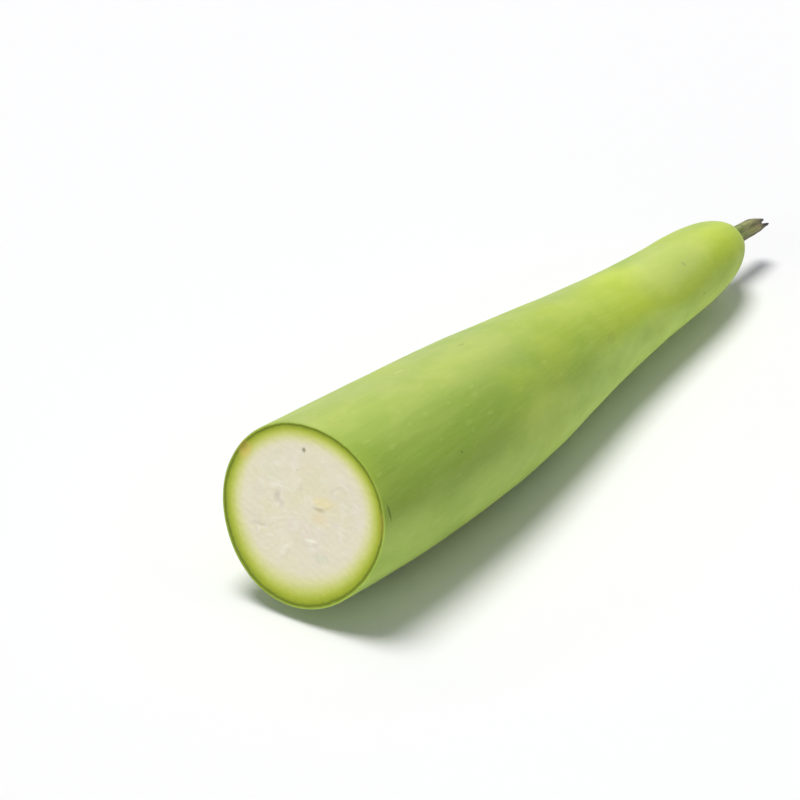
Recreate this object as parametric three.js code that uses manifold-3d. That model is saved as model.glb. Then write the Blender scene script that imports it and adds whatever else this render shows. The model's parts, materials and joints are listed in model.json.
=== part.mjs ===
// The stem half of a bottle gourd, cut across and lying on its side, with its dried stem.
// Millimetres. +X runs along the gourd towards the stem, +Z is up, and the cut face looks along -X.

import * as THREE from 'three';
import { mergeVertices } from 'three/addons/utils/BufferGeometryUtils.js';
import Module from 'manifold-3d';

const wasm = await Module();
wasm.setup();

// The body: a wide belly that tapers into a neck and closes in a round shoulder at the stem.
const bellyRadius = 37.7;
const neckRadius = 18.5;
const bodyLength = 347; // from the cut to the stem's seat
const taperMiddle = 180; // where the belly has gone half way to the neck
const taperWidth = 40;
const shoulderLength = 90;
const shoulderPower = 4.3;
const seatRadius = 4.4; // the flat spot that the stem springs from
const seatRise = 1.6; // the shoulder closes a little above the axis

// The section is very slightly three-sided, as the fruit's three seed chambers make it.
const lobeCount = 3;
const lobeDepth = 0.017;
const lobeAngle = THREE.MathUtils.degToRad(36);

// The fruit grew with a slight bow and a weaker S on top of it, both sideways.
const bow = 3.9;
const sway = 2.4;

// Past the belly the neck also bends aside and up, and then runs straight on to the stem.
const neckAside = -5;
const neckLift = 5;
const neckBendStart = 130;
const neckBendEnd = 300;

// How it lies: the belly bears the weight, and the axis dips towards the stem, with the slimmer
// neck a few millimetres clear of the table.
const restSlope = THREE.MathUtils.degToRad(4.5);
const settle = 0.7; // how far the weight flattens the skin where it touches

// The knife went in a little off square and left a flat face.
const cutTilt = THREE.MathUtils.degToRad(13.1); // the face looks up by this much
const cutTurn = THREE.MathUtils.degToRad(1.6);
const cutOverrun = 14; // body beyond the cut, which the knife takes off

// The stem: ridged, widest near its root, split into two prongs at its dried end.
const stemLength = 29;
// Each row is a share of the stem's length and the radius there.
const stemProfile = [
  [0, 4.6],
  [0.12, 4.7],
  [0.3, 4.2],
  [0.6, 3.75],
  [0.85, 3.3],
  [1, 2.8],
];
const stemRidges = 5;
const ridgeDepth = 0.09;
const tipAside = -1.2; // the stem curves off its axis by this much at the tip
const tipLift = -0.4;
const splitLength = 5.5;
const splitWidth = 1.1;
const splitAngle = THREE.MathUtils.degToRad(45); // the prongs lie above and below this slit
const jointGap = 0.3;

// Mesh fineness.
const bodySides = 60;
const bodyRings = 46;
const shoulderRings = 16;
const stemSides = 40;
const stemRings = 16;

// Size of the boxes that cut, larger than anything they meet.
const toolSize = 600;

const gourd = new THREE.Group();

const skin = new THREE.MeshStandardMaterial({
  color: new THREE.Color().setRGB(0.66, 0.74, 0.36, THREE.SRGBColorSpace),
  roughness: 0.42,
  metalness: 0,
});
const driedStem = new THREE.MeshStandardMaterial({
  color: new THREE.Color().setRGB(0.5, 0.49, 0.31, THREE.SRGBColorSpace),
  roughness: 0.85,
  metalness: 0,
});

// A solid from a closed three.js geometry, its seams merged.
function toSolid(geometry) {
  const bare = geometry.clone();
  bare.deleteAttribute('normal');
  bare.deleteAttribute('uv');
  const merged = mergeVertices(bare, 1e-4);
  return new wasm.Manifold(
    new wasm.Mesh({
      numProp: 3,
      vertProperties: new Float32Array(merged.attributes.position.array),
      triVerts: new Uint32Array(merged.index.array),
    }),
  );
}

function toGeometry(solid) {
  const mesh = solid.getMesh();
  const geometry = new THREE.BufferGeometry();
  geometry.setAttribute('position', new THREE.BufferAttribute(mesh.vertProperties, 3));
  geometry.setIndex(new THREE.BufferAttribute(mesh.triVerts, 1));
  geometry.computeVertexNormals();
  return geometry;
}

function movePoints(geometry, move) {
  const positions = geometry.attributes.position;
  const point = new THREE.Vector3();
  for (let i = 0; i < positions.count; i += 1) {
    point.fromBufferAttribute(positions, i);
    move(point);
    positions.setXYZ(i, point.x, point.y, point.z);
  }
  positions.needsUpdate = true;
}

// Radius of the body at a distance along its axis from the cut.
function bodyRadius(x) {
  const taper = 1 / (1 + Math.exp((x - taperMiddle) / taperWidth));
  const radius = neckRadius + (bellyRadius - neckRadius) * taper;
  const along = THREE.MathUtils.clamp((x - bodyLength + shoulderLength) / shoulderLength, 0, 1);
  const seatShare = (seatRadius / neckRadius) ** 2;
  return radius * Math.sqrt(1 - along ** shoulderPower * (1 - seatShare));
}

// Sideways shift of the section's middle at a distance from the cut.
function sideShift(x) {
  const t = x / bodyLength;
  const curve = -4 * bow * t * (1 - t) - 8 * sway * t * (1 - t) * (1 - 2 * t);
  return curve + neckAside * THREE.MathUtils.smoothstep(x, neckBendStart, neckBendEnd);
}

// Rise of the section's middle above the axis: the neck's bend, and then the shoulder's closing.
function middleRise(x) {
  const along = THREE.MathUtils.clamp((x - bodyLength + shoulderLength) / shoulderLength, 0, 1);
  return neckLift * THREE.MathUtils.smoothstep(x, neckBendStart, neckBendEnd) + seatRise * along ** 3;
}

// The whole body before the cut, its axis along X.
function makeBodyBlank() {
  const shoulderStart = bodyLength - shoulderLength;
  const profile = [new THREE.Vector2(0, -cutOverrun)];
  for (let ring = 0; ring <= bodyRings; ring += 1) {
    const x = -cutOverrun + ((shoulderStart + cutOverrun) * ring) / bodyRings;
    profile.push(new THREE.Vector2(bodyRadius(x), x));
  }
  for (let ring = 1; ring <= shoulderRings; ring += 1) {
    const x = shoulderStart + shoulderLength * Math.sin((Math.PI / 2) * (ring / shoulderRings));
    profile.push(new THREE.Vector2(bodyRadius(x), x));
  }
  profile.push(new THREE.Vector2(0, bodyLength));

  const geometry = new THREE.LatheGeometry(profile, bodySides);
  geometry.rotateZ(-Math.PI / 2);
  movePoints(geometry, (point) => {
    const angle = Math.atan2(point.z, point.y);
    const fade = 1 - THREE.MathUtils.smoothstep(point.x, 0, bodyLength);
    const lobe = 1 + lobeDepth * fade * Math.cos(lobeCount * (angle - lobeAngle));
    point.y = point.y * lobe + sideShift(point.x);
    point.z = point.z * lobe + middleRise(point.x);
  });
  return geometry;
}

// The part of space below the table.
function makeGround() {
  const ground = new THREE.BoxGeometry(2 * toolSize, toolSize, toolSize);
  ground.translate(0, 0, -toolSize / 2);
  return ground;
}

// The part of space that the knife takes off.
function makeKnifeSide() {
  const side = new THREE.BoxGeometry(toolSize, toolSize, toolSize);
  side.translate(-toolSize / 2, 0, 0);
  side.rotateY(cutTilt);
  side.rotateZ(cutTurn);
  return side;
}

// The stem on its own axis, along X from its root, before it is placed.
function makeStemBlank() {
  const outline = new THREE.SplineCurve(
    stemProfile.map(([share, radius]) => new THREE.Vector2(radius, share * stemLength)),
  );
  const profile = [
    new THREE.Vector2(0, 0),
    ...outline.getPoints(stemRings),
    new THREE.Vector2(0, stemLength),
  ];
  const geometry = new THREE.LatheGeometry(profile, stemSides);
  geometry.rotateZ(-Math.PI / 2);
  movePoints(geometry, (point) => {
    const angle = Math.atan2(point.z, point.y);
    const ridge = 1 + ridgeDepth * Math.cos(stemRidges * angle);
    const curl = (point.x / stemLength) ** 2;
    point.y = point.y * ridge + tipAside * curl;
    point.z = point.z * ridge + tipLift * curl;
  });
  return geometry;
}

// The slit that parts the stem's end in two.
function makeSplit() {
  const slit = new THREE.BoxGeometry(2 * splitLength, toolSize, splitWidth);
  slit.rotateX(-splitAngle);
  slit.translate(stemLength, tipAside, tipLift);
  return slit;
}

const bodyBlank = makeBodyBlank();
bodyBlank.rotateY(restSlope);
bodyBlank.computeBoundingBox();
const axisHeight = -bodyBlank.boundingBox.min.z - settle;
bodyBlank.translate(0, 0, axisHeight);

const knifeSide = makeKnifeSide();
knifeSide.translate(0, 0, axisHeight);

const bodySolid = toSolid(bodyBlank).subtract(toSolid(knifeSide)).subtract(toSolid(makeGround()));
const body = new THREE.Mesh(toGeometry(bodySolid), skin);
body.name = 'gourd_body';
gourd.add(body);

const stemSolid = toSolid(makeStemBlank()).subtract(toSolid(makeSplit()));
const stem = new THREE.Mesh(toGeometry(stemSolid), driedStem);
stem.name = 'stem';
stem.position.set(
  bodyLength + jointGap,
  sideShift(bodyLength),
  middleRise(bodyLength),
);

// The stem's place is on the sloping axis, so it hangs from a pivot at the cut.
const axisPivot = new THREE.Group();
axisPivot.position.z = axisHeight;
axisPivot.rotation.y = restSlope;
axisPivot.add(stem);
gourd.add(axisPivot);

// The origin is the middle of the bottom of the whole gourd's box.
gourd.updateMatrixWorld(true);
const box = new THREE.Box3().setFromObject(gourd, true);
gourd.position.set(-(box.min.x + box.max.x) / 2, -(box.min.y + box.max.y) / 2, 0);

export default gourd;
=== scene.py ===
import json
import math

import bpy
import numpy as np
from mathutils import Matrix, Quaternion, Vector, noise
from mathutils.bvhtree import BVHTree


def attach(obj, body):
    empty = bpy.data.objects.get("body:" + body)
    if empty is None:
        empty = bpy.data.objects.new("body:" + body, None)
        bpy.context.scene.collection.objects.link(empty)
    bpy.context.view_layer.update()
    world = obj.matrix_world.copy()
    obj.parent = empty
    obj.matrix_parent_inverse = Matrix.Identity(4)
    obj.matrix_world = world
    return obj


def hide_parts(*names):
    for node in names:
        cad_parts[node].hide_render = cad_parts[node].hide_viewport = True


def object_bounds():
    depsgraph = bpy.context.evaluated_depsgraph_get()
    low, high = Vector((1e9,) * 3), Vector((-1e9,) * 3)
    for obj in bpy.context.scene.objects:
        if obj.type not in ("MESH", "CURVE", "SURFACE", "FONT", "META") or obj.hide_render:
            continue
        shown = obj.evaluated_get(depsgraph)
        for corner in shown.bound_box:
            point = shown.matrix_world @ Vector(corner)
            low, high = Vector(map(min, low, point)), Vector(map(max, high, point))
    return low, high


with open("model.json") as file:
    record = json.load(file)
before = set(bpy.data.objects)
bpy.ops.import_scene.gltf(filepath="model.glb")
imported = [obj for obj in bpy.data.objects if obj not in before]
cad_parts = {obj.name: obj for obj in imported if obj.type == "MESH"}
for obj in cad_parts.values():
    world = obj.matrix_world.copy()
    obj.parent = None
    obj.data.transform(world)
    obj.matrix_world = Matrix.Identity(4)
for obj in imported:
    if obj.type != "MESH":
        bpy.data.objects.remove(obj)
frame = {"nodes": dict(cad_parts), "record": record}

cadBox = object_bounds()
print("frame loaded")


def unit(vector):
    vector = np.asarray(vector, dtype=float)
    return vector / np.linalg.norm(vector)


def nodePoints(name):
    mesh = frame["nodes"][name].data
    points = np.empty(len(mesh.vertices) * 3)
    mesh.vertices.foreach_get("co", points)
    return points.reshape(-1, 3)


def mountPlane(name):
    mount = next(m for m in frame["record"]["mounts"] if m["name"] == name)
    return np.array(mount["pos_m"], dtype=float), unit(mount["axis"])


def flatEnd(name, direction, depth, facingShare=0.97):
    # middle and facing of the flat that ends a node on the side of direction
    direction = unit(direction)
    nearest = (nodePoints(name) @ direction).max() - depth
    middle = np.zeros(3)
    facing = np.zeros(3)
    area = 0.0
    for polygon in frame["nodes"][name].data.polygons:
        normal = np.array(polygon.normal)
        centre = np.array(polygon.center)
        if normal @ direction > facingShare and centre @ direction > nearest:
            middle += centre * polygon.area
            facing += normal * polygon.area
            area += polygon.area
    return middle / area, unit(facing)


def smoothStep(values, low, high):
    share = np.clip((values - low) / (high - low), 0.0, 1.0)
    return share * share * (3.0 - 2.0 * share)


def angleGap(angle, centre):
    return np.abs((angle - centre + math.pi) % (2 * math.pi) - math.pi)


def noiseAt(points, size, shift):
    # one soft noise value for each point; size is the width of its lumps in metres, on each axis
    scaled = points / np.asarray(size) + np.asarray(shift)
    return np.array([noise.noise(Vector(p)) for p in scaled])


def crowded(share, split, tail):
    # even steps as far as split, then closer and closer ones over the last part of the way, tail
    closing = np.sin(np.clip((share - split) / (1 - split), 0.0, 1.0) * math.pi / 2)
    return np.where(share < split, share / split * (1 - tail), 1 - tail + tail * closing)


def ringFaces(ringCount, around, first=0):
    # quads between rings of the same number of points
    faces = []
    for ring in range(ringCount - 1):
        here = first + ring * around
        there = here + around
        for step in range(around):
            after = (step + 1) % around
            faces.append((here + step, here + after, there + after, there + step))
    return faces


def capFaces(ring, around, middle):
    return [(ring + step, ring + (step + 1) % around, middle) for step in range(around)]


def flipped(faces):
    return [tuple(reversed(face)) for face in faces]


def makeObject(name, points, faces):
    mesh = bpy.data.meshes.new(name)
    mesh.from_pydata([tuple(p) for p in points], [], faces)
    mesh.validate()
    mesh.polygons.foreach_set("use_smooth", [True] * len(mesh.polygons))
    piece = bpy.data.objects.new(name, mesh)
    bpy.context.scene.collection.objects.link(piece)
    return piece


def addPointValues(piece, name, values):
    layer = piece.data.attributes.new(name, "FLOAT", "POINT")
    layer.data.foreach_set("value", np.asarray(values, dtype=np.float32))


# the gourd's own directions, read from the frame
cutCentre, cutNormal = mountPlane("cut_face")
seatCentre, stemBack = flatEnd("stem", (-1, 0, 0), depth=0.0015)
seatFacing = -stemBack
bodyLength = np.linalg.norm(seatCentre - cutCentre)
alongAxis = unit(seatCentre - cutCentre)
sideAxis = unit(np.cross((0.0, 0.0, 1.0), alongAxis))
upAxis = np.cross(alongAxis, sideAxis)
faceRight = unit(np.cross((0.0, 0.0, 1.0), cutNormal))
faceUp = np.cross(cutNormal, faceRight)

bodyShape = {
    "stations": 120,         # where the frame's outline is read
    "directions": 120,
    "harmonics": 6,          # how finely a section's outline is followed
    "clearOfCut": 0.009,     # past the slanting cut, every direction meets skin
    "clearOfSeat": 0.0007,   # the reading ends this far short of the stem's seat
    "clearOfGround": 0.0001,         # lower than this is the belly's flat
    "ringsAlong": 236,
    "pointsAround": 288,
    # share of the stations or rings before the shoulder, share of the length that the others crowd into
    "stationCrowding": (0.60, 0.25),
    "ringCrowding": (0.62, 0.25),
    "cutPasses": 8,          # steps that slide each line's start onto the slanting cut
    "endGap": 0.0006,        # the last ring stays this far short of the stem's seat
    "edgeRound": 0.0005,     # radius that the knife left on the skin's edge
    "edgeRings": 5,
    # dents: depth, width along and across, shift of the pattern
    "dents": (
        (0.00050, (0.060, 0.038, 0.038), (3.1, 7.7, 1.9)),
        (0.00016, (0.017, 0.012, 0.012), (8.3, 2.2, 5.1)),
        (0.00005, (0.060, 0.004, 0.004), (1.2, 4.4, 9.8)),
    ),
    "smoothAtSeat": 0.020,   # the dents fade over this distance to the stem
    # shallow folds that run into the stem's seat: number, turn, depth
    "seatFolds": (5, 1.1, 0.00035),
    "foldStart": 0.003,      # metres from the seat where the folds are full, and where they fade out
    "foldFade": (0.004, 0.016),
    # stripes of painted light and shade along the body: degrees round, where it is full and where it
    # ends to each side, how much of it there is beyond the belly
    "stripes": {
        # painted sheen along the top
        "paintedTopSheen": (86.0, 12.0, 58.0, 0.50),
        # painted shade below the painted sheen
        "paintedFlankShade": (144.0, 8.0, 41.0, 0.25),
        # painted light from the floor, on the lower side
        "under": (218.0, 44.0, 66.0, 1.60),
        # painted shade, with a whitish painted sheen, on the side turned away
        "far": (46.0, 22.0, 60.0, 1.30),
    },
    "stripeFade": (0.06, 0.20),      # metres from the cut
    # wandering edges: how far, in radians, width of the waves, shift of the pattern
    "stripeWander": (0.35, (0.050, 0.030, 0.030), (6.2, 1.1, 8.8)),
}


def waveRow(angle, harmonics):
    row = [np.ones_like(angle)]
    for k in range(1, harmonics + 1):
        row += [np.cos(k * angle), np.sin(k * angle)]
    return np.stack(row, axis=-1)


def readOutline(shape):
    # radius of the frame's body, as a few waves round the axis at each station
    mesh = frame["nodes"]["gourd_body"].data
    corners = [v.co.copy() for v in mesh.vertices]
    tree = BVHTree.FromPolygons(corners, [tuple(p.vertices) for p in mesh.polygons])
    first = shape["clearOfCut"]
    share = crowded(np.linspace(0.0, 1.0, shape["stations"]), *shape["stationCrowding"])
    stations = first + share * (bodyLength - shape["clearOfSeat"] - first)
    waves = []
    for station in stations:
        origin = Vector(cutCentre + alongAxis * station)
        rows = []
        reach = []
        for angle in np.linspace(0.0, 2 * math.pi, shape["directions"], endpoint=False):
            ray = Vector(sideAxis * math.cos(angle) + upAxis * math.sin(angle))
            hit, _, _, distance = tree.ray_cast(origin, ray)
            if hit is None or hit.z < shape["clearOfGround"]:  # the flat would pull the waves in
                continue
            rows.append(waveRow(angle, shape["harmonics"]))
            reach.append(distance)
        waves.append(np.linalg.lstsq(np.array(rows), np.array(reach), rcond=None)[0])
    return stations, np.array(waves)


def startSlope(stations, waves, over=4):
    # how the waves change with distance at the first stations, to carry them on to the cut
    return (waves[over] - waves[0]) / (stations[over] - stations[0])


outlineStations, outlineWaves = readOutline(bodyShape)
outlineSlope = startSlope(outlineStations, outlineWaves)


def skinRadius(station, angle):
    held = np.clip(station, outlineStations[0], outlineStations[-1])
    before = np.minimum(station - outlineStations[0], 0.0)
    radius = np.zeros_like(station)
    rows = waveRow(angle, bodyShape["harmonics"])
    for k in range(rows.shape[-1]):
        weight = np.interp(held, outlineStations, outlineWaves[:, k]) + before * outlineSlope[k]
        radius += weight * rows[..., k]
    return radius


def skinPoint(station, angle, extra=0.0):
    station = np.asarray(station, dtype=float)
    angle = np.asarray(angle, dtype=float)
    reach = skinRadius(station, angle) + extra
    return (
        cutCentre
        + station[..., None] * alongAxis
        + (reach * np.cos(angle))[..., None] * sideAxis
        + (reach * np.sin(angle))[..., None] * upAxis
    )


def skinRelief(shape, stations, angles):
    # how far the real skin stands off the smooth outline
    flat = skinPoint(stations, angles).reshape(-1, 3)
    relief = np.zeros(len(flat))
    for depth, width, shift in shape["dents"]:
        relief += depth * noiseAt(flat, width, shift)
    toSeat = bodyLength - stations
    relief = relief.reshape(stations.shape) * smoothStep(toSeat, 0.0, shape["smoothAtSeat"])
    count, turn, depth = shape["seatFolds"]
    folds = 0.5 + 0.5 * np.cos(count * angles + turn)
    paintedSeatShade = smoothStep(toSeat, 0.0, shape["foldStart"]) * (1 - smoothStep(toSeat, *shape["foldFade"]))
    return relief - depth * folds * paintedSeatShade


def bodyRings(shape):
    # distance of each ring from the cut: the rounded edge, then evenly, then crowding at the shoulder
    around = shape["pointsAround"]
    angles = np.linspace(0.0, 2 * math.pi, around, endpoint=False)
    start = np.zeros(around)
    for _ in range(shape["cutPasses"]):
        gap = (skinPoint(start, angles) - cutCentre) @ cutNormal
        start -= gap / (alongAxis @ cutNormal)
    edge = shape["edgeRound"]
    turns = np.linspace(0.0, math.pi / 2, shape["edgeRings"])
    stations = [start + edge * (1 - math.cos(turn)) for turn in turns]
    insets = [np.full(around, edge * (1 - math.sin(turn))) for turn in turns]
    rest = np.linspace(0.0, 1.0, shape["ringsAlong"] - shape["edgeRings"] + 1)[1:]
    for share in crowded(rest, *shape["ringCrowding"]):
        stations.append(start + edge + (bodyLength - shape["endGap"] - start - edge) * share)
        insets.append(np.zeros(around))
    stations = np.array(stations)
    return stations, np.broadcast_to(angles, stations.shape), np.array(insets)


faceShape = {
    "rings": 60,
    "crowding": 1.5,         # above 1, the rings crowd towards the skin
    "greenBand": (0.0082, 0.0138),   # depth of the green under the skin, above and below
    # the band's wandering: share of its depth, width of the waves, shift of the pattern
    "bandWander": (0.10, (0.011, 0.011, 0.011), (5.5, 2.5, 0.5)),
    "sunk": 0.00022,         # the flesh has dried a little below the skin's edge
    "sunkFrom": (0.0008, 0.0026),    # depths under the skin where that starts and is full
    # relief: height, width, shift of the pattern
    "sponge": (0.00010, (0.0016, 0.0016, 0.0016), (2.4, 6.6, 4.2)),
    "swell": (0.00008, (0.009, 0.009, 0.009), (7.1, 0.3, 3.8)),
    # the knife's faint lines: height, spacing, their direction across, how far they waver
    "knifeLines": (0.00002, 0.0034, (0.34, 0.94), 0.0016),
    # young seeds, cut through: right, up, turn in degrees, length, width, rise
    "seeds": (
        (-0.0112, 0.0036, 68, 0.0078, 0.0034, -0.00020),
        (0.0086, 0.0068, 8, 0.0080, 0.0036, 0.00020),
        (-0.0176, -0.0096, 6, 0.0072, 0.0026, -0.00016),
        (0.0060, -0.0094, 12, 0.0076, 0.0030, 0.00022),
        (0.0126, -0.0146, -38, 0.0070, 0.0030, -0.00014),
        (-0.0024, 0.0122, 84, 0.0064, 0.0026, 0.00014),
        (0.0186, -0.0022, -80, 0.0070, 0.0028, 0.00016),
        (-0.0052, -0.0166, 58, 0.0072, 0.0030, 0.00018),
        (-0.0196, 0.0068, -50, 0.0062, 0.0026, 0.00014),
        (0.0150, 0.0146, 40, 0.0060, 0.0026, -0.00012),
        (-0.0104, 0.0184, -70, 0.0058, 0.0024, 0.00012),
        (-0.0118, -0.0058, 30, 0.0066, 0.0026, 0.00014),
    ),
    "seedTaper": 0.45,       # a seed is blunt at one end and pointed at the other
    "seedEdge": (0.7, 1.1),          # where a seed's rise starts to fall and where it ends
    "seedOutline": (1.05, 0.22),     # where the line round a seed runs, and how wide it is
}


def faceRings(shape, rim):
    steps = np.arange(1, shape["rings"]) / shape["rings"]
    inward = steps ** shape["crowding"]
    return np.vstack([rim * (1 - share) + cutCentre * share for share in inward] + [cutCentre])


def seedPattern(shape, right, up):
    # inside, outline and rise of the cut seeds at each point of the face
    inside = np.zeros_like(right)
    outline = np.zeros_like(right)
    rise = np.zeros_like(right)
    line, lineWidth = shape["seedOutline"]
    for x, y, turn, length, width, height in shape["seeds"]:
        turn = math.radians(turn)
        along = (right - x) * math.cos(turn) + (up - y) * math.sin(turn)
        across = (up - y) * math.cos(turn) - (right - x) * math.sin(turn)
        halfWidth = width / 2 * (1.0 - shape["seedTaper"] * along / length)
        distance = np.hypot(along / (length / 2), across / halfWidth)
        here = 1 - smoothStep(distance, *shape["seedEdge"])
        inside = np.maximum(inside, here)
        outline = np.maximum(outline, np.exp(-(((distance - line) / lineWidth) ** 2)))
        rise += height * here
    return inside, outline, rise


def rimDepth(shape, points, rimPoints, right, up):
    # how deep each point of the face lies under the skin, in metres and as a share of the green band
    angle = np.arctan2(up, right)
    rimFlat = rimPoints - cutCentre
    rimAngle = np.arctan2(rimFlat @ faceUp, rimFlat @ faceRight)
    order = np.argsort(rimAngle)
    rimReach = np.hypot(rimFlat @ faceRight, rimFlat @ faceUp)[order]
    depth = np.interp(angle, rimAngle[order], rimReach, period=2 * math.pi) - np.hypot(right, up)
    above, below = shape["greenBand"]
    band = above + (below - above) * (0.5 - 0.5 * np.sin(angle)) ** 2
    wander, width, shift = shape["bandWander"]
    return depth, depth / (band * (1 + wander * noiseAt(points, width, shift)))


def addFaceDetail(shape, points, rimPoints):
    # lifts the face's points along its normal, and gives what its finish needs at each
    flat = points - cutCentre
    right = flat @ faceRight
    up = flat @ faceUp
    depth, bandShare = rimDepth(shape, points, rimPoints, right, up)
    inside, outline, rise = seedPattern(shape, right, up)
    spongeHeight, *spongePattern = shape["sponge"]
    swellHeight, *swellPattern = shape["swell"]
    swell = noiseAt(points, *swellPattern)
    knifeHeight, spacing, across, waver = shape["knifeLines"]
    acrossLines = right * across[0] + up * across[1] + waver * swell
    relief = spongeHeight * noiseAt(points, *spongePattern) + swellHeight * swell
    relief += knifeHeight * np.sin(acrossLines * 2 * math.pi / spacing) + rise - shape["sunk"]
    lifted = points + np.outer(relief * smoothStep(depth, *shape["sunkFrom"]), cutNormal)
    return lifted, {"rimDepth": bandShare, "seedInside": inside, "seedOutline": outline}


def bodyStripe(points, stripe, shape):
    # a soft stripe of painted light and shade along the body, with wandering edges, that changes beyond
    # the belly
    centre, full, end, beyond = stripe
    wander, width, shift = shape["stripeWander"]
    offAxis = points - cutCentre
    around = np.arctan2(offAxis @ upAxis, offAxis @ sideAxis)
    gap = angleGap(around, math.radians(centre)) + wander * noiseAt(points, width, shift)
    mask = 1 - smoothStep(gap, math.radians(full), math.radians(end))
    return mask * (1 - (1 - beyond) * smoothStep(offAxis @ alongAxis, *shape["stripeFade"]))


def makeBody(shape):
    around = shape["pointsAround"]
    stations, angles, insets = bodyRings(shape)
    points = skinPoint(stations, angles, skinRelief(shape, stations, angles) - insets)
    offPlane = (points[0] - cutCentre) @ cutNormal
    points[0] -= offPlane[:, None] / (alongAxis @ cutNormal) * alongAxis
    ringCount = len(stations)
    rim = points[0].copy()
    points = points.reshape(-1, 3)
    points[:, 2] = np.maximum(points[:, 2], 0.0)  # the belly's flat on the ground
    faces = ringFaces(ringCount, around)

    seatMiddle = len(points)
    points = np.vstack([points, seatCentre - seatFacing * shape["endGap"]])
    faces += capFaces((ringCount - 1) * around, around, seatMiddle)
    skinFaces = len(faces)

    # the cut face, ring by ring from its edge to its middle
    flesh, values = addFaceDetail(faceShape, faceRings(faceShape, rim), rim)
    first = len(points)
    points = np.vstack([points, flesh])
    for step in range(around):
        after = (step + 1) % around
        faces.append((after, step, first + step, first + after))
    rings = faceShape["rings"] - 1
    last = first + (rings - 1) * around
    faces += flipped(ringFaces(rings, around, first))
    faces += flipped(capFaces(last, around, len(points) - 1))

    body = makeObject("gourdBody", points, faces)
    for polygon in body.data.polygons[skinFaces:]:
        polygon.material_index = 1
    for name, value in values.items():
        addPointValues(body, name, np.concatenate([np.zeros(first), value]))
    # where each stripe of painted light and shade falls
    for name, stripe in shape["stripes"].items():
        addPointValues(body, name, bodyStripe(points, stripe, shape))
    addPointValues(body, "toSeat", np.linalg.norm(points - seatCentre, axis=1))
    return body


stemShape = {
    "pointsAround": 160,
    "outerRings": 96,
    "rootCrowding": 0.9,     # below 1, the outer rings crowd a little towards the tip
    "innerRings": 36,
    "sunk": 0.0012,          # how deep the root goes into the body
    # from root to tip: share of the length, radius
    "profile": (
        (0.00, 0.00520),
        (0.04, 0.00480),
        (0.12, 0.00450),
        (0.30, 0.00425),
        (0.60, 0.00410),
        (0.85, 0.00385),
        (1.00, 0.00340),
    ),
    "bend": 0.0009,          # how far the middle bows up out of the straight line
    # ribs: number, sharpness, degrees where they start, degrees that they turn up to the tip
    "ribs": (5, 0.35, 22.0, 16.0),
    "ribHeight": 0.000275,
    # lumps: height, width across and along the stem, shift of the pattern
    "fibres": (0.00012, (0.0006, 0.0006, 0.011), (3.0, 9.0, 1.0)),
    "knots": (0.000192, (0.0024, 0.0024, 0.006), (7.0, 5.0, 8.0)),
    "tipDepth": 0.0020,      # the frame's stem is taken this deep for the place of its tip
    "notch": 0.79,           # share of the length where the split ends
    # what is left of the wall beyond the split: direction, half width in degrees, share reached, curl
    "prongs": ((50.0, 98.0, 0.945, 0.0022), (234.0, 88.0, 1.03, 0.0006)),
    "prongFull": 0.72,       # share of the half width where a prong's edge starts to fall away
    "curlOver": (0.67, 1.05),        # shares of the length where the curl starts and is full
    "ragged": 0.016,         # height of the torn edge's teeth, as a share of the length
    # the teeth's width round a circle of radius 1, shift of the pattern
    "teeth": ((0.22, (4.0, 1.0, 2.0)), (0.07, (1.0, 6.0, 2.0))),
    "tornEdge": (0.3, 0.7, 1.0),     # rings over the edge, as shares of the wall
    "edgeLift": 0.006,       # how much the edge bulges, as a share of the length
    "wall": 0.00085,
    "wallGain": 0.0006,      # the wall thickens by this much down the hollow
    "hollowFloor": 0.66,     # share of the length where the hollow ends
    "floorDip": 0.004,       # how much lower its middle lies, as a share of the length
    "floorRings": (0.0010, 0.0018),  # how far inside the wall
}


def stemDirections(shape):
    # length, and the directions along and across, from the frame's stem
    points = nodePoints("stem")
    far = (points @ seatFacing).max()
    tip = points[points @ seatFacing > far - shape["tipDepth"]].mean(axis=0)
    along = unit(tip - seatCentre)
    side = unit(np.cross((0.0, 0.0, 1.0), along))
    return far - seatCentre @ seatFacing, along, side, np.cross(along, side)


stemLength, stemAlong, stemSide, stemUp = stemDirections(stemShape)


def tornEnd(shape, angles):
    # how far the wall reaches and how much it curls in, round the stem
    notch = shape["notch"]
    rim = np.full(len(angles), notch)
    curl = np.zeros(len(angles))
    for centre, halfWidth, reached, bent in shape["prongs"]:
        gap = angleGap(angles, math.radians(centre))
        edge = math.radians(halfWidth)
        on = 1 - smoothStep(gap, edge * shape["prongFull"], edge)
        rim = np.maximum(rim, notch + (reached - notch) * on)
        curl += bent * on * np.cos(gap)
    circle = np.stack([np.cos(angles), np.sin(angles), np.zeros(len(angles))], axis=1)
    for width, shift in shape["teeth"]:
        rim = rim + shape["ragged"] * noiseAt(circle, (width, width, width), shift)
    return rim, curl


def ribPattern(shape, angles, share):
    # from about -1 in a groove to 1 on a rib
    count, sharpness, start, twist = shape["ribs"]
    turned = angles - math.radians(start) - math.radians(twist) * share
    crest = 2 * np.abs(np.cos(count / 2 * turned)) - 1
    return (1 - sharpness) * np.cos(count * turned) + sharpness * crest


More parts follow.
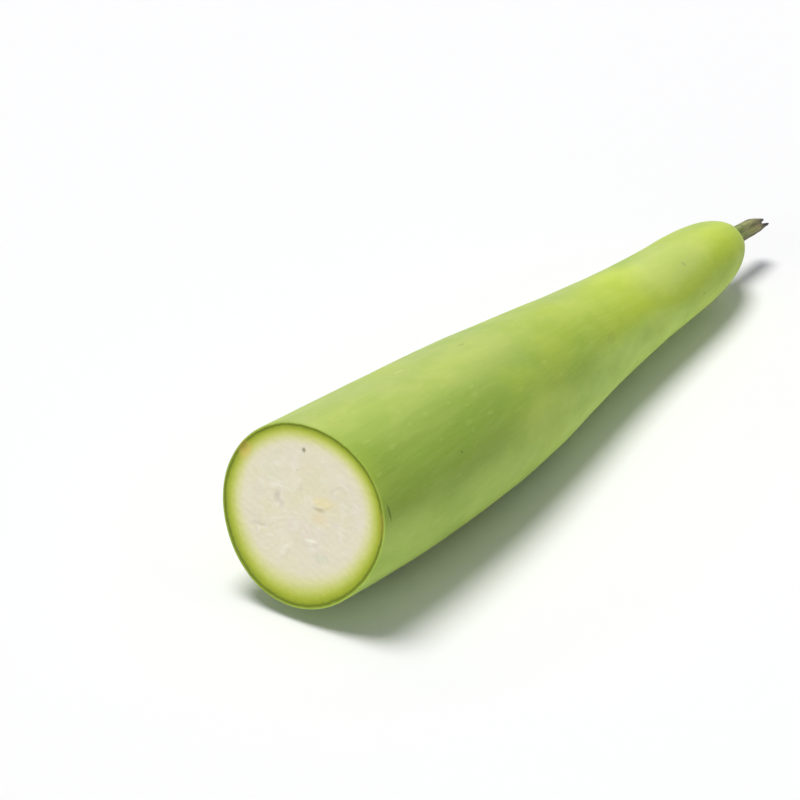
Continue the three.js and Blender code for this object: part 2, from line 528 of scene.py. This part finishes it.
def stemRing(shape, angles, share, inset, relief, curl):
    # one ring of points; share, the part of the length reached, differs round the ring
    shares, radii = np.array(shape["profile"]).T
    radius = np.interp(share, shares, radii)
    grain = np.stack([np.cos(angles) * radius, np.sin(angles) * radius, share * stemLength], axis=1)
    rib = ribPattern(shape, angles, share)
    lumps = shape["ribHeight"] * (rib - 0.5)
    for height, width, shift in (shape["fibres"], shape["knots"]):
        lumps = lumps + height * noiseAt(grain, width, shift)
    radius = radius + lumps * relief - inset - curl * smoothStep(share, *shape["curlOver"])
    bow = shape["bend"] * np.sin(np.clip(share, 0, 1) * math.pi)
    points = seatCentre + np.outer(share * stemLength, stemAlong) + np.outer(bow, stemUp)
    points += np.outer(radius * np.cos(angles), stemSide) + np.outer(radius * np.sin(angles), stemUp)
    return points, rib


def stemPlan(shape, rim):
    # every ring: share of the length reached, distance inside the skin, relief, share of lining
    wall = shape["wall"]
    floor = shape["hollowFloor"]
    root = -shape["sunk"] / stemLength
    plan = []
    for step in np.linspace(0.0, 1.0, shape["outerRings"]):
        plan.append((root + (rim - root) * step ** shape["rootCrowding"], 0.0, 1.0, 0.0))
    for turn in shape["tornEdge"]:
        plan.append((rim + shape["edgeLift"] * math.sin(turn * math.pi), wall * turn, 1.0 - turn, turn))
    for step in np.linspace(0.0, 1.0, shape["innerRings"])[1:]:
        plan.append((rim + (floor - rim) * step, wall + shape["wallGain"] * step, 0.0, 1.0))
    for pull in shape["floorRings"]:
        bottom = np.full(len(rim), floor - shape["floorDip"])
        plan.append((bottom, wall + shape["wallGain"] + pull, 0.0, 1.0))
    return plan


def makeStem(shape):
    around = shape["pointsAround"]
    angles = np.linspace(0.0, 2 * math.pi, around, endpoint=False)
    rim, curl = tornEnd(shape, angles)
    rings = []
    values = {"rib": [], "stemShare": [], "inner": []}
    for share, inset, relief, inner in stemPlan(shape, rim):
        points, rib = stemRing(shape, angles, share, inset, relief, curl)
        rings.append(points)
        values["rib"].append(rib)
        values["stemShare"].append(share)
        values["inner"].append(np.full(around, inner))

    rootMiddle = len(rings) * around
    floorMiddle = rootMiddle + 1
    points = np.vstack(rings + [rings[0].mean(axis=0), rings[-1].mean(axis=0)])
    faces = ringFaces(len(rings), around)
    faces += flipped(capFaces(0, around, rootMiddle))
    faces += capFaces((len(rings) - 1) * around, around, floorMiddle)
    stem = makeObject("gourdStem", points, faces)
    for name, rows in values.items():
        rows = np.concatenate(rows)
        addPointValues(stem, name, np.concatenate([rows, [rows[0], rows[-1]]]))
    return stem


body = makeBody(bodyShape)
stem = makeStem(stemShape)
print("meshes made:", len(body.data.polygons), "and", len(stem.data.polygons), "faces")


def linkOrSet(tree, node, values):
    # values are sockets to link or plain numbers, by the input's name or place
    for name, value in values.items():
        if isinstance(value, bpy.types.NodeSocket):
            tree.links.new(value, node.inputs[name])
        else:
            node.inputs[name].default_value = value


def addNode(tree, kind, values=None, **settings):
    made = tree.nodes.new("ShaderNode" + kind)
    for name, value in settings.items():
        setattr(made, name, value)
    linkOrSet(tree, made, values or {})
    return made


def maths(tree, operation, *values):
    return addNode(tree, "Math", dict(enumerate(values)), operation=operation).outputs[0]


def vectorMaths(tree, operation, *values):
    return addNode(tree, "VectorMath", dict(enumerate(values)), operation=operation).outputs[0]


def mapped(tree, value, start, end, low=0.0, high=1.0, kind="SMOOTHSTEP"):
    # low at start, high at end, and even beyond them
    values = {"Value": value, "From Min": start, "From Max": end, "To Min": low, "To Max": high}
    return addNode(tree, "MapRange", values, interpolation_type=kind).outputs["Result"]


def startGroup(name, inputs):
    tree = bpy.data.node_groups.new(name, "ShaderNodeTree")
    for label, kind in inputs:
        tree.interface.new_socket(label, in_out="INPUT", socket_type="NodeSocket" + kind)
    tree.interface.new_socket("Mask", in_out="OUTPUT", socket_type="NodeSocketFloat")
    return tree, tree.nodes.new("NodeGroupInput").outputs, tree.nodes.new("NodeGroupOutput").inputs


patternShape = {
    "fleckSizes": (0.3, 1.0),    # smallest and largest, as shares of Size
    "fleckCore": 0.35,           # share of a fleck that is solid
    "edgeScale": 1.4,            # lumps in a mark's wandering edge
    "edgeDetail": 3.0,
    "edgeShift": 300.0,          # so that no two marks share an edge
}


def softPatchesGroup():
    # cloudy patches; Stretch below 1 draws them out along that axis
    tree, given, out = startGroup("softPatches", (
        ("Vector", "Vector"), ("Stretch", "Vector"), ("Shift", "Vector"),
        ("Scale", "Float"), ("Detail", "Float"), ("Low", "Float"), ("High", "Float"),
    ))
    drawn = vectorMaths(tree, "MULTIPLY", given["Vector"], given["Stretch"])
    moved = vectorMaths(tree, "ADD", drawn, given["Shift"])
    values = {"Vector": moved, "Scale": given["Scale"], "Detail": given["Detail"]}
    clouds = addNode(tree, "TexNoise", values).outputs["Fac"]
    mask = mapped(tree, clouds, given["Low"], given["High"])
    tree.links.new(mask, out["Mask"])
    return tree


def fleckGroup(shape):
    # scattered flecks of many sizes; Share is the part of the cells that hold one
    tree, given, out = startGroup("flecks", (
        ("Vector", "Vector"), ("Stretch", "Vector"), ("Shift", "Vector"),
        ("Cells", "Float"), ("Share", "Float"), ("Size", "Float"),
    ))
    drawn = vectorMaths(tree, "MULTIPLY", given["Vector"], given["Stretch"])
    moved = vectorMaths(tree, "ADD", drawn, given["Shift"])
    cells = addNode(tree, "TexVoronoi", {"Vector": moved, "Scale": given["Cells"]})
    chance = addNode(tree, "SeparateColor", {0: cells.outputs["Color"]})
    held = maths(tree, "LESS_THAN", chance.outputs[0], given["Share"])
    least, most = shape["fleckSizes"]
    grown = maths(tree, "MULTIPLY_ADD", chance.outputs[1], most - least, least)
    size = maths(tree, "MULTIPLY", grown, given["Size"])
    core = maths(tree, "MULTIPLY", size, shape["fleckCore"])
    spot = mapped(tree, cells.outputs["Distance"], core, size, 1.0, 0.0)
    tree.links.new(maths(tree, "MULTIPLY", spot, held), out["Mask"])
    return tree


def markGroup(shape):
    # one soft mark at Centre, Reach long on each axis, with a wandering edge
    tree, given, out = startGroup("softMark", (
        ("Vector", "Vector"), ("Centre", "Vector"), ("Reach", "Vector"),
        ("Softness", "Float"), ("Wander", "Float"),
    ))
    offset = vectorMaths(tree, "SUBTRACT", given["Vector"], given["Centre"])
    scaled = vectorMaths(tree, "DIVIDE", offset, given["Reach"])
    shift = vectorMaths(tree, "MULTIPLY", given["Centre"], (shape["edgeShift"],) * 3)
    clouds = addNode(tree, "TexNoise", {
        "Vector": vectorMaths(tree, "ADD", scaled, shift),
        "Scale": shape["edgeScale"], "Detail": shape["edgeDetail"],
    })
    centred = maths(tree, "SUBTRACT", clouds.outputs["Fac"], 0.5)
    distance = addNode(tree, "VectorMath", {0: scaled}, operation="LENGTH").outputs["Value"]
    wandered = maths(tree, "MULTIPLY_ADD", centred, given["Wander"], distance)
    core = maths(tree, "SUBTRACT", 1.0, given["Softness"])
    tree.links.new(mapped(tree, wandered, core, 1.0, 1.0, 0.0), out["Mask"])
    return tree


softPatches = softPatchesGroup()
flecks = fleckGroup(patternShape)
softMark = markGroup(patternShape)


def place(tree, group, values):
    return addNode(tree, "Group", values, node_tree=group).outputs["Mask"]


def placePatterns(tree, where, look):
    # the masks of a finish's patches and flecks, by name
    masks = {}
    for name, (scale, detail, low, high, stretch, shift) in look["patches"].items():
        masks[name] = place(tree, softPatches, {
            "Vector": where, "Stretch": stretch, "Shift": shift,
            "Scale": scale, "Detail": detail, "Low": low, "High": high,
        })
    for name, (cells, share, size, stretch, shift) in look["flecks"].items():
        masks[name] = place(tree, flecks, {
            "Vector": where, "Stretch": stretch, "Shift": shift,
            "Cells": cells, "Share": share, "Size": size,
        })
    return masks


def placeMark(tree, where, centre, reach, edge):
    softness, wander = edge
    return place(tree, softMark, {
        "Vector": where, "Centre": tuple(centre), "Reach": reach,
        "Softness": softness, "Wander": wander,
    })


def asColour(value):
    return value if isinstance(value, bpy.types.NodeSocket) else (*value, 1.0)


def over(tree, below, colour, mask, strength):
    # lays a colour over what is below it, where the mask says
    share = maths(tree, "MULTIPLY", mask, strength)
    values = {0: share, 6: asColour(below), 7: asColour(colour)}
    return addNode(tree, "Mix", values, data_type="RGBA").outputs[2]


def layered(tree, colour, look, masks):
    for name, shade, strength in look["layers"]:
        colour = over(tree, colour, look[shade], masks[name], strength)
    return colour


def total(tree, masks, parts):
    # weighted sum of masks
    height = 0.0
    for name, weight in parts:
        height = maths(tree, "MULTIPLY_ADD", masks[name], weight, height)
    return height


def pointValues(tree, name):
    return addNode(tree, "Attribute", attribute_name=name).outputs["Fac"]


def colourRamp(tree, factor, steps):
    ramp = addNode(tree, "ValToRGB", {"Fac": factor})
    stops = ramp.color_ramp.elements
    while len(stops) < len(steps):
        stops.new(0.5)
    for stop, (position, shade) in zip(stops, steps):
        stop.position = position
        stop.color = (*shade, 1.0)
    return ramp.outputs["Color"]


def startMaterial(name):
    material = bpy.data.materials.new(name)
    material.use_nodes = True
    tree = material.node_tree
    return material, tree, tree.nodes["Principled BSDF"]


def finishShader(tree, shader, look, masks, colour):
    # colour, roughness, relief and the shader's even settings
    wear = total(tree, masks, look["wear"])
    height = total(tree, masks, look["height"])
    relief = {"Height": height, "Strength": look["bump"], "Distance": look["bumpDepth"]}
    linkOrSet(tree, shader, look["shader"])
    linkOrSet(tree, shader, {
        "Base Color": colour,
        "Roughness": mapped(tree, wear, 0.0, 1.0, *look["roughness"], kind="LINEAR"),
        "Normal": addNode(tree, "Bump", relief).outputs["Normal"],
    })


skinLook = {
    "belly": (0.325, 0.462, 0.058),
    # the neck's paler colour is partly its own and partly painted light, for the brighter light on the
    # neck
    "neck": (0.580, 0.722, 0.040),
    "neckFrom": 0.123,                  # metres from the cut where the neck's colour starts
    "neckTo": 0.073,                    # metres short of the stem where it is full
    "paintedTopSheen": (0.660, 0.738, 0.200),     # painted sheen along the top, stronger towards the cut
    "paintedFlankShade": (0.206, 0.338, 0.036),     # painted shade: a deeper green below the painted sheen
    "under": (0.610, 0.840, 0.165),     # painted light thrown up from the floor, a paler green on the lower side
    "far": (0.360, 0.470, 0.150),       # painted shade on the side turned away, with a whitish painted sheen
    # how strongly each stripe of painted light and shade is laid on
    "stripes": (("paintedTopSheen", 0.55), ("paintedFlankShade", 0.40), ("under", 0.50), ("far", 0.48)),
    "leafAndSeatShade": (0.250, 0.430, 0.042),      # greener patches, and the painted shade round the stem
    "sunny": (0.600, 0.680, 0.055),     # yellower patches
    "pale": (0.640, 0.760, 0.200),      # lengthwise flecks and streaks
    "dark": (0.150, 0.230, 0.040),      # pores and specks
    # patches: scale, detail, where they start and where they are full, stretch, shift
    "patches": {
        "greener": (24.0, 3.0, 0.44, 0.66, (0.70, 1, 1), (0, 0, 3)),
        "yellower": (19.0, 3.0, 0.46, 0.68, (0.80, 1, 1), (4, 0, 1)),
        "mottle": (95.0, 3.0, 0.42, 0.62, (0.60, 1, 1), (2, 2, 0)),
        "streaks": (230.0, 3.0, 0.46, 0.66, (0.10, 1, 1), (0, 5, 0)),
        "fineStreaks": (620.0, 3.0, 0.45, 0.68, (0.14, 1, 1), (7, 0, 0)),
        "grain": (1500.0, 2.0, 0.35, 0.70, (0.50, 1, 1), (1, 1, 1)),
    },
    # flecks: cells in a metre, share of them that hold one, size, stretch, shift
    "flecks": {
        "paleFlecks": (300.0, 0.40, 0.42, (0.40, 1, 1), (0, 0, 0)),
        "pores": (520.0, 0.30, 0.30, (0.80, 1, 1), (3, 1, 2)),
        "specks": (46.0, 0.28, 0.070, (0.70, 1, 1), (1, 4, 2)),
    },
    # pattern, colour, strength, from the lowest layer to the top one
    "layers": (
        ("greener", "leafAndSeatShade", 0.34),
        ("yellower", "sunny", 0.30),
        ("mottle", "leafAndSeatShade", 0.12),
        ("streaks", "pale", 0.09),
        ("fineStreaks", "pale", 0.05),
        ("paleFlecks", "pale", 0.13),
        ("pores", "dark", 0.14),
        ("specks", "dark", 0.30),
    ),
    # the side that lay on the soil: metres along, degrees round, reach, edge, colour, strength
    "ground": (0.12, -80.0, (0.085, 0.026, 0.020), (0.75, 0.5), (0.560, 0.600, 0.210), 0.60),
    # painted shade round the stem: metres from it where it is full and where it ends, strength
    "paintedSeatShade": ((0.0120, 0.0500, 0.24), (0.0045, 0.0085, 0.50)),
    # what makes the skin rougher and what raises it: pattern, weight
    "wear": (("mottle", 0.45), ("streaks", 0.35), ("grain", 0.20)),
    "roughness": (0.54, 0.68),
    "height": (
        ("grain", 0.30), ("fineStreaks", 0.35), ("paleFlecks", 0.35), ("pores", -0.40), ("marks", -1.2),
    ),
    "bump": 0.25,
    "bumpDepth": 0.0004,
    "shader": {"Specular IOR Level": 0.24, "Sheen Weight": 0.06, "Sheen Roughness": 0.40},
    # marks: metres along from the cut, degrees round, half length, half width, colour, strength
    "marks": (
        (0.2746, 128.8, 0.0016, 0.0020, (0.220, 0.280, 0.050), 0.55),
        (0.3338, 115.4, 0.0014, 0.0016, (0.300, 0.360, 0.160), 0.50),
        # painted shade on the neck's end, by the stem
        (0.3080, 163.0, 0.0180, 0.0140, (0.330, 0.500, 0.014), 0.35),
        # painted sheen on the neck's upper side
        (0.2680, 116.0, 0.0500, 0.0170, (0.640, 0.720, 0.280), 0.36),
        (0.0569, 155.3, 0.0010, 0.0010, (0.130, 0.210, 0.045), 0.50),
        (0.1918, 152.8, 0.0060, 0.0030, (0.300, 0.350, 0.070), 0.22),
        (0.1106, 88.5, 0.0046, 0.0006, (0.230, 0.240, 0.070), 0.45),
        (0.0066, 162.5, 0.0008, 0.0046, (0.070, 0.140, 0.010), 0.62),
        (0.0702, 82.4, 0.0046, 0.0008, (0.640, 0.700, 0.280), 0.50),
        (0.1480, 20.0, 0.0120, 0.0011, (0.420, 0.430, 0.200), 0.55),
        (0.0860, -28.0, 0.0026, 0.0019, (0.300, 0.290, 0.110), 0.55),
        (0.2310, -12.0, 0.0019, 0.0013, (0.180, 0.200, 0.070), 0.60),
        (0.2050, 231.0, 0.0070, 0.0009, (0.470, 0.480, 0.240), 0.50),
    ),
    "markEdge": (0.6, 0.5),             # softness, wander
}


def skinMaterial(look):
    material, tree, shader = startMaterial("gourdSkin")
    where = addNode(tree, "TexCoord").outputs["Object"]
    along = addNode(tree, "SeparateXYZ", {0: where}).outputs["X"]
    start = float(cutCentre[0]) + look["neckFrom"]
    end = float(seatCentre[0]) - look["neckTo"]
    # paler towards the neck: partly the skin's own colour, partly painted light
    colour = over(tree, look["belly"], look["neck"], mapped(tree, along, start, end), 1.0)
    # the stripes of painted light and shade
    for name, strength in look["stripes"]:
        colour = over(tree, colour, look[name], pointValues(tree, name), strength)
    masks = placePatterns(tree, where, look)
    colour = layered(tree, colour, look, masks)

    station, around, reach, edge, shade, strength = look["ground"]
    centre = skinPoint(station, math.radians(around))
    colour = over(tree, colour, shade, placeMark(tree, where, centre, reach, edge), strength)
    toSeat = pointValues(tree, "toSeat")
    # painted shade round the stem
    for close, away, strength in look["paintedSeatShade"]:
        colour = over(tree, colour, look["leafAndSeatShade"], mapped(tree, toSeat, close, away, 1.0, 0.0), strength)

    marked = 0.0
    for station, around, halfLength, halfWidth, shade, strength in look["marks"]:
        centre = skinPoint(station, math.radians(around))
        mask = placeMark(tree, where, centre, (halfLength, halfWidth, halfWidth), look["markEdge"])
        colour = over(tree, colour, shade, mask, strength)
        marked = maths(tree, "MAXIMUM", marked, mask)
    masks["marks"] = marked
    finishShader(tree, shader, look, masks, colour)
    return material


fleshLook = {
    # depth under the skin as a share of the green band, colour
    "band": (
        (0.000, (0.330, 0.450, 0.040)),
        (0.035, (0.260, 0.340, 0.018)),
        (0.070, (0.125, 0.185, 0.004)),
        (0.100, (0.180, 0.240, 0.006)),
        (0.170, (0.340, 0.420, 0.018)),
        (0.300, (0.470, 0.550, 0.050)),
        (0.480, (0.630, 0.680, 0.160)),
        (0.720, (0.785, 0.785, 0.380)),
        (1.000, (0.860, 0.820, 0.570)),
    ),
    "bandWaver": 0.025,                 # how far the soft pattern moves the band's colours
    "core": (0.880, 0.825, 0.620),
    "coreFrom": (0.7, 1.5),             # shares of the green band where the core starts and is full
    "rosy": (0.860, 0.770, 0.650),
    "straw": (0.840, 0.790, 0.470),
    # also the colour of the pale flecks that are painted highlights
    "milk": (0.930, 0.905, 0.760),
    "leafy": (0.760, 0.800, 0.560),
    "cellWall": (0.780, 0.720, 0.540),
    "seed": (0.900, 0.870, 0.700),
    "seedLine": (0.620, 0.560, 0.400),
    "seedStrength": 0.25,
    "seedLineStrength": 0.16,
    # patches, flecks and layers, with the same columns as the skin's
    "patches": {
        "soft": (420.0, 3.0, 0.30, 0.70, (1, 1, 1), (0, 0, 0)),
        "rosy": (62.0, 3.0, 0.44, 0.64, (1, 1, 1), (1, 0, 0)),
        "straw": (75.0, 3.0, 0.48, 0.66, (1, 1, 1), (0, 7, 0)),
        "leafy": (68.0, 3.0, 0.50, 0.68, (1, 1, 1), (5, 5, 0)),
        "milk": (190.0, 3.0, 0.50, 0.66, (1, 1, 1), (0, 0, 9)),
        "fibres": (520.0, 3.0, 0.52, 0.70, (1, 0.35, 1), (0, 3, 3)),
    },
    "flecks": {
        "sponge": (620.0, 0.75, 0.55, (1, 1, 1), (0, 0, 0)),
        # pale flecks that are painted highlights on the wet flesh
        "paintedGlints": (150.0, 0.16, 0.22, (1, 0.45, 1), (2, 0, 5)),
    },
    "layers": (
        ("rosy", "rosy", 0.45),
        ("straw", "straw", 0.35),
        ("leafy", "leafy", 0.30),
        ("milk", "milk", 0.35),
        ("fibres", "cellWall", 0.07),
        ("sponge", "cellWall", 0.14),
        # painted highlights on the wet flesh, in the milky colour
        ("paintedGlints", "milk", 0.55),
    ),
    "wear": (("milk", 0.5), ("sponge", 0.3), ("soft", 0.2)),
    "roughness": (0.38, 0.55),
    "height": (("sponge", 0.5), ("soft", 0.4), ("fibres", 0.12), ("paintedGlints", 0.3)),
    "bump": 0.20,
    "bumpDepth": 0.0005,
    "shader": {
        "Specular IOR Level": 0.26,
        "Subsurface Weight": 0.12,
        "Subsurface Scale": 0.003,
        "Subsurface Radius": (1.0, 0.9, 0.6),
    },
    # marks: right, up, half width, half height (metres), colour, strength
    "marks": (
        (-0.0290, 0.0184, 0.0046, 0.0056, (0.800, 0.560, 0.140), 0.50),
        (-0.0310, 0.0208, 0.0036, 0.0042, (0.320, 0.260, 0.012), 0.72),
        (0.0362, 0.0075, 0.0024, 0.0090, (0.520, 0.430, 0.050), 0.34),
        (-0.0027, 0.0264, 0.0013, 0.0015, (0.230, 0.230, 0.130), 0.85),
        (-0.0121, 0.0046, 0.0024, 0.0038, (0.640, 0.580, 0.460), 0.55),
        (-0.0097, 0.0020, 0.0018, 0.0024, (0.640, 0.580, 0.460), 0.45),
        # a painted highlight on the wet flesh
        (-0.0125, 0.0089, 0.0034, 0.0008, (0.980, 0.960, 0.800), 0.70),
        (0.0092, 0.0078, 0.0072, 0.0036, (0.900, 0.780, 0.400), 0.62),
        (0.0084, 0.0010, 0.0066, 0.0040, (0.880, 0.750, 0.430), 0.50),
        (0.0074, 0.0046, 0.0046, 0.0012, (0.600, 0.480, 0.220), 0.52),
        (-0.0182, -0.0094, 0.0042, 0.0006, (0.600, 0.540, 0.420), 0.50),
        # the next two are painted highlights on the wet flesh too
        (-0.0184, -0.0115, 0.0012, 0.0009, (1.000, 0.980, 0.820), 0.70),
        (0.0060, -0.0090, 0.0038, 0.0009, (1.000, 0.980, 0.800), 0.75),
        (-0.0019, 0.0105, 0.0012, 0.0012, (0.660, 0.600, 0.480), 0.35),
        (-0.0043, 0.0176, 0.0012, 0.0010, (0.660, 0.600, 0.480), 0.35),
        (0.0115, -0.0148, 0.0050, 0.0026, (0.700, 0.760, 0.520), 0.50),
    ),
    "markEdge": (0.8, 0.7),
}


def fleshMaterial(look):
    material, tree, shader = startMaterial("gourdFlesh")
    where = addNode(tree, "TexCoord").outputs["Object"]
    depth = pointValues(tree, "rimDepth")
    masks = placePatterns(tree, where, look)
    centred = maths(tree, "SUBTRACT", masks["soft"], 0.5)
    wavered = maths(tree, "MULTIPLY_ADD", centred, look["bandWaver"], depth)
    inCore = mapped(tree, depth, *look["coreFrom"])
    colour = over(tree, colourRamp(tree, wavered, look["band"]), look["core"], inCore, 1.0)
    inside = {name: maths(tree, "MULTIPLY", masks[name], inCore) for name, _, _ in look["layers"]}
    # the layers include the painted highlights on the wet flesh
    colour = layered(tree, colour, look, inside)

    # the young seeds, and the broken line round each
    broken = maths(tree, "MULTIPLY", pointValues(tree, "seedOutline"), masks["rosy"])
    colour = over(tree, colour, look["seed"], pointValues(tree, "seedInside"), look["seedStrength"])
    colour = over(tree, colour, look["seedLine"], broken, look["seedLineStrength"])
    # the marks include painted highlights on the wet flesh
    for right, up, halfWidth, halfHeight, shade, strength in look["marks"]:
        centre = cutCentre + right * faceRight + up * faceUp
        reach = (max(halfWidth, halfHeight), halfWidth, halfHeight)
        mask = placeMark(tree, where, centre, reach, look["markEdge"])
        colour = over(tree, colour, shade, mask, strength)
    finishShader(tree, shader, look, masks, colour)
    return material


stemLook = {
    # share of the length, colour of the ribs' sides
    "length": (
        (0.00, (0.120, 0.230, 0.014)),
        (0.14, (0.145, 0.220, 0.024)),
        (0.35, (0.250, 0.290, 0.064)),
        (0.65, (0.270, 0.220, 0.075)),
        (0.82, (0.140, 0.115, 0.065)),
        (0.92, (0.050, 0.030, 0.034)),
        (1.00, (0.035, 0.018, 0.024)),
    ),
    "ridge": (0.420, 0.430, 0.130),
    "ridgeFrom": (0.35, 1.0),           # heights on a rib where its colour starts and is full
    "groove": (0.070, 0.075, 0.014),
    "grooveFrom": (-0.2, -0.9),
    "fibre": (0.540, 0.500, 0.280),
    "lichen": (0.130, 0.150, 0.080),
    "tip": (0.024, 0.014, 0.021),
    "tipFrom": (0.64, 0.91),            # shares of the length
    "inside": (0.360, 0.320, 0.220),
    "insideDark": (0.120, 0.080, 0.060),
    "insideStrength": 0.6,
    # patches, flecks and layers, with the same columns as the skin's
    "patches": {
        "fibres": (1500.0, 3.0, 0.45, 0.62, (0.06, 1, 1), (0, 1, 0)),
        "fineFibres": (3600.0, 3.0, 0.42, 0.66, (0.05, 1, 1), (3, 0, 1)),
        "blotches": (330.0, 3.0, 0.48, 0.62, (0.50, 1, 1), (0, 0, 4)),
    },
    "flecks": {
        "scabs": (900.0, 0.3, 0.4, (0.4, 1, 1), (0, 2, 0)),
    },
    "layers": (
        ("onRidge", "ridge", 0.55),
        ("inGroove", "groove", 0.85),
        ("fibres", "fibre", 0.42),
        ("fineFibres", "groove", 0.30),
        ("blotches", "lichen", 0.45),
        ("scabs", "groove", 0.40),
        ("atTip", "tip", 0.90),
    ),
    "wear": (("blotches", 0.5), ("fibres", 0.5)),
    "roughness": (0.62, 0.86),
    "height": (("fibres", 0.6), ("fineFibres", 0.4), ("scabs", 0.4)),
    "bump": 0.6,
    "bumpDepth": 0.0004,
    "shader": {"Specular IOR Level": 0.5},
}


def stemMaterial(look):
    material, tree, shader = startMaterial("driedStem")
    where = addNode(tree, "TexCoord").outputs["Object"]
    share = pointValues(tree, "stemShare")
    rib = pointValues(tree, "rib")
    masks = placePatterns(tree, where, look)
    masks["onRidge"] = mapped(tree, rib, *look["ridgeFrom"], kind="LINEAR")
    masks["inGroove"] = mapped(tree, rib, *look["grooveFrom"], kind="LINEAR")
    masks["atTip"] = mapped(tree, share, *look["tipFrom"])
    colour = layered(tree, colourRamp(tree, share, look["length"]), look, masks)
    lining = over(tree, look["inside"], look["insideDark"], masks["fibres"], look["insideStrength"])
    colour = over(tree, colour, lining, pointValues(tree, "inner"), 1.0)
    finishShader(tree, shader, look, masks, colour)
    return material


body.data.materials.append(skinMaterial(skinLook))
body.data.materials.append(fleshMaterial(fleshLook))
stem.data.materials.append(stemMaterial(stemLook))
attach(body, "root")
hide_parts("gourd_body")
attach(stem, "root")
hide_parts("stem")
print("finishes made")

lightSetup = {
    "skyLight": 0.155,
    "skyColour": (0.97, 0.98, 1.25, 1.0),
    # lamps: name, azimuth, elevation, width of the source (degrees), light on a surface square to it,
    # colour
    "lamps": (
        ("key", 180.0, 78.0, 28.0, 0.785, (1.0, 1.0, 0.96)),
        ("faceFill", -90.0, 4.0, 40.0, 0.365, (1.0, 1.0, 1.0)),
        ("endFill", 100.0, 38.0, 70.0, 0.12, (1.0, 1.0, 1.0)),
    ),
    "floorSeen": 0.955,      # the floor's grey for the camera
    "floorBounce": 0.90,     # and for the light that it throws back on the gourd
    "floorRoughness": 0.9,
    "floorHalfSize": 30.0,
    "floorLevel": -0.0002,   # just clear of the belly's flat
}


def makeFloor(setup):
    half = setup["floorHalfSize"]
    level = setup["floorLevel"]
    corners = [(-half, -half, level), (half, -half, level), (half, half, level), (-half, half, level)]
    mesh = bpy.data.meshes.new("floor")
    mesh.from_pydata(corners, [], [(0, 1, 2, 3)])
    floor = bpy.data.objects.new("floor", mesh)
    bpy.context.scene.collection.objects.link(floor)
    material, tree, shader = startMaterial("whiteFloor")
    seen = addNode(tree, "LightPath").outputs["Is Camera Ray"]
    linkOrSet(tree, shader, {
        "Base Color": mapped(tree, seen, 0.0, 1.0, setup["floorBounce"], setup["floorSeen"], "LINEAR"),
        "Roughness": setup["floorRoughness"],
        "Specular IOR Level": 0.0,
    })
    mesh.materials.append(material)


def makeWorld(setup):
    world = bpy.data.worlds.new("studio")
    bpy.context.scene.world = world
    world.use_nodes = True
    tree = world.node_tree
    tree.nodes.clear()
    path = addNode(tree, "LightPath")
    seen = path.outputs["Is Camera Ray"]
    for ray in ("Is Glossy Ray", "Is Transmission Ray"):
        seen = maths(tree, "MAXIMUM", seen, path.outputs[ray])
    light = addNode(tree, "Background", {"Color": setup["skyColour"], "Strength": setup["skyLight"]})
    white = addNode(tree, "Background", {"Color": (1, 1, 1, 1), "Strength": 1.0})
    mix = addNode(tree, "MixShader", {0: seen, 1: light.outputs[0], 2: white.outputs[0]})
    addNode(tree, "OutputWorld", {"Surface": mix.outputs[0]})


def directionFrom(azimuth, elevation):
    a, e = math.radians(azimuth), math.radians(elevation)
    return Vector((math.sin(a) * math.cos(e), -math.cos(a) * math.cos(e), math.sin(e)))


def makeLamps(setup):
    for name, azimuth, elevation, width, light, colour in setup["lamps"]:
        lamp = bpy.data.lights.new(name, "SUN")
        lamp.color = colour
        lamp.energy = math.pi * light
        lamp.angle = math.radians(width)
        held = bpy.data.objects.new(name, lamp)
        held.rotation_euler = directionFrom(azimuth, elevation).to_track_quat("Z", "Y").to_euler()
        bpy.context.scene.collection.objects.link(held)


cameraSetup = {
    "azimuth": -56.32,
    "elevation": 30.0,
    "roll": 0.78,
    "distance": 1.17,
    "aim": (-0.0848, 0.0221, 0.0019),   # from the middle of the frame's box
    "lens": 126.0,
    "sensor": 36.0,
    "clipEnd": 100.0,
}


def makeCamera(setup):
    data = bpy.data.cameras.new("camera")
    data.lens = setup["lens"]
    data.sensor_width = setup["sensor"]
    data.clip_end = setup["clipEnd"]
    camera = bpy.data.objects.new("camera", data)
    back = directionFrom(setup["azimuth"], setup["elevation"])
    low, high = (Vector(corner) for corner in cadBox)
    camera.location = (low + high) / 2 + Vector(setup["aim"]) + back * setup["distance"]
    rolled = Quaternion((0.0, 0.0, 1.0), math.radians(setup["roll"]))
    camera.rotation_euler = (back.to_track_quat("Z", "Y") @ rolled).to_euler()
    bpy.context.scene.collection.objects.link(camera)
    bpy.context.scene.camera = camera


makeFloor(lightSetup)
makeWorld(lightSetup)
makeLamps(lightSetup)
makeCamera(cameraSetup)
bpy.context.scene.view_settings.view_transform = "Standard"
print("floor, light and camera made")
